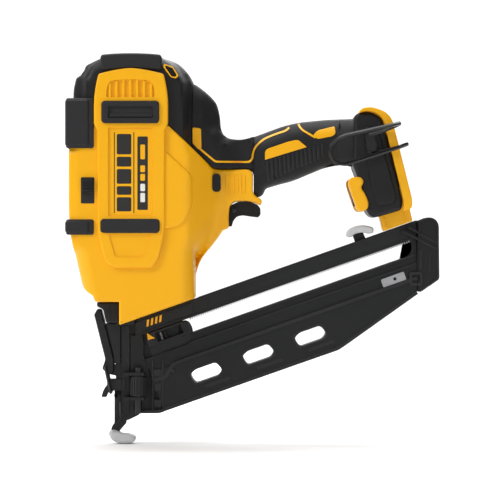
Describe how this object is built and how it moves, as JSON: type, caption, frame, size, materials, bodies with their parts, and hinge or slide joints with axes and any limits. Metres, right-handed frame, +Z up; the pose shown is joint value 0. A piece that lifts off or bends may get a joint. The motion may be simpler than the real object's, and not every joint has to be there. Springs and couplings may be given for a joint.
{
  "type": "cordless brad nailer",
  "caption": "Cordless angled finish nailer with driver housing, pistol grip, open battery foot, nose with contact trip and tool-free latch, slanted magazine and belt hook.",
  "frame": {"origin": "centre of the flat sole of the work-contact pad, on the tool's mid-plane", "axes": "+Z up along the driver, nose down; +X from the nose towards the battery foot; +Y to the operator's right"},
  "size_m": [0.307, 0.0957, 0.3221],
  "materials": {
    "yellow": "satin moulded",
    "black": "fine-textured moulded",
    "rubber": "matt overmoulded",
    "casting": "black anodised casting",
    "steel": "bright machined",
    "dark_steel": "black oxide",
    "pad": "smooth moulded",
    "copper": "lacquered windings",
    "lens": "clear",
    "board": "printed board"
  },
  "bodies": {
    "tool": {"left_housing": "yellow", "right_housing": "yellow", "indicator_bezel": "yellow", "battery_band": "yellow", "foot_post": "yellow", "mode_selector_bezel": "yellow", "left_grip_shell": "black", "right_grip_shell": "black", "battery_terminal_block": "black", "nose_cowl": "black", "magazine_channel": "black", "magazine_rear_cap": "black", "spare_pad_post": "black", "top_bumper": "rubber", "front_upper_bumper": "rubber", "front_lower_bumper": "rubber", "left_upper_strip": "rubber", "right_upper_strip": "rubber", "left_lower_strip": "rubber", "right_lower_strip": "rubber", "drive_frame": "casting", "trigger_switch": "casting", "nose_body": "casting", "magazine_rail": "casting", "left_bearing": "steel", "right_bearing": "steel", "left_guide_rod": "steel", "right_guide_rod": "steel", "left_return_spring": "steel", "right_return_spring": "steel", "trigger_pin": "steel", "trip_spring": "steel", "spring_plate": "steel", "belt_hook": "dark_steel", "hook_screw": "dark_steel", "spare_pad": "pad", "control_board": "board", "motor_stator": "copper", "solenoid": "copper", "indicator_lens": "lens"},
    "flywheel": {"flywheel": "steel", "motor_shaft": "steel"},
    "driver": {"driver": "dark_steel"},
    "pinch_arm": {"pinch_arm": "casting"},
    "pinch_roller": {"pinch_roller": "steel"},
    "solenoid_plunger": {"solenoid_plunger": "steel"},
    "trigger": {"trigger": "black"},
    "lock_off_button": {"lock_off_button": "black"},
    "mode_selector": {"mode_selector": "black"},
    "contact_trip": {"contact_trip": "casting", "no_mar_pad": "pad"},
    "depth_wheel": {"depth_wheel": "rubber"},
    "depth_stop": {"depth_stop": "dark_steel"},
    "nose_door": {"nose_door": "casting"},
    "latch_lever": {"latch_lever": "casting"},
    "latch_bail": {"latch_bail": "dark_steel"},
    "stall_release_lever": {"stall_release_lever": "black"},
    "pusher": {"pusher": "black"}
  },
  "joints": [
    {"name": "flywheel_spin", "type": "hinge", "parent": "tool", "child": "flywheel", "pos_m": [0.0339, 0, 0.196], "axis": [0, 1, 0], "continuous": true},
    {"name": "driver_stroke", "type": "slide", "parent": "tool", "child": "driver", "axis": [0, 0, -1], "range_m": [0, 0.07], "stiffness_N_per_m": 40, "springref_m": -0.08, "deforming": ["left_return_spring", "right_return_spring"]},
    {"name": "pinch_arm_swing", "type": "hinge", "parent": "tool", "child": "pinch_arm", "pos_m": [-0.017, 0, 0.222], "axis": [0, -1, 0], "range_deg": [0, 2.2], "stiffness_Nm_per_rad": 0.5, "springref_deg": -17.19},
    {"name": "pinch_roller_spin", "type": "hinge", "parent": "pinch_arm", "child": "pinch_roller", "pos_m": [-0.0067, 0, 0.196], "axis": [0, 1, 0], "continuous": true},
    {"name": "plunger_stroke", "type": "slide", "parent": "tool", "child": "solenoid_plunger", "axis": [0, 0, -1], "range_m": [0, 0.0005]},
    {"name": "trigger_pull", "type": "hinge", "parent": "tool", "child": "trigger", "pos_m": [0.0955, 0, 0.1925], "axis": [0, -1, 0], "range_deg": [0, 8], "stiffness_Nm_per_rad": 0.4, "springref_deg": -8.59},
    {"name": "lock_off_slide", "type": "slide", "parent": "tool", "child": "lock_off_button", "axis": [0, 1, 0], "range_m": [-0.003, 0.003]},
    {"name": "mode_slide", "type": "slide", "parent": "tool", "child": "mode_selector", "axis": [0.2764, 0, -0.961], "range_m": [-0.004, 0.004]},
    {"name": "contact_trip_press", "type": "slide", "parent": "tool", "child": "contact_trip", "axis": [0, 0, 1], "range_m": [0, 0.008], "stiffness_N_per_m": 600, "springref_m": -0.04, "deforming": ["trip_spring"]},
    {"name": "depth_wheel_turn", "type": "hinge", "parent": "tool", "child": "depth_wheel", "pos_m": [0.0166, -0.0145, 0.0475], "axis": [0, 0, 1], "range_deg": [-720, 720]},
    {"name": "depth_stop_travel", "type": "slide", "parent": "tool", "child": "depth_stop", "axis": [0, 0, 1], "range_m": [-0.0021, 0.0021]},
    {"name": "nose_door_swing", "type": "hinge", "parent": "tool", "child": "nose_door", "pos_m": [-0.002, 0, 0.0394], "axis": [0, -1, 0], "range_deg": [0, 50]},
    {"name": "latch_lever_pull", "type": "hinge", "parent": "nose_door", "child": "latch_lever", "pos_m": [-0.0075, 0, 0.0606], "axis": [0, -1, 0], "range_deg": [0, 95]},
    {"name": "latch_bail_swing", "type": "hinge", "parent": "latch_lever", "child": "latch_bail", "pos_m": [-0.011, 0, 0.0644], "axis": [0, 1, 0], "range_deg": [0, 143]},
    {"name": "stall_release_slide", "type": "slide", "parent": "tool", "child": "stall_release_lever", "axis": [0, 0, -1], "range_m": [0, 0.008], "stiffness_N_per_m": 100, "springref_m": -0.01},
    {"name": "pusher_travel", "type": "slide", "parent": "tool", "child": "pusher", "axis": [0.9432, 0, 0.3322], "range_m": [0, 0.155], "stiffness_N_per_m": 10, "springref_m": -1}
  ],
  "couplings": [
    {"joint": "plunger_stroke", "follows": "pinch_arm_swing", "m_per_rad": 0.011},
    {"joint": "depth_stop_travel", "follows": "depth_wheel_turn", "m_per_rad": 0.00015915},
    {"joint": "latch_bail_swing", "follows": "latch_lever_pull", "ratio": 1.5}
  ]
}
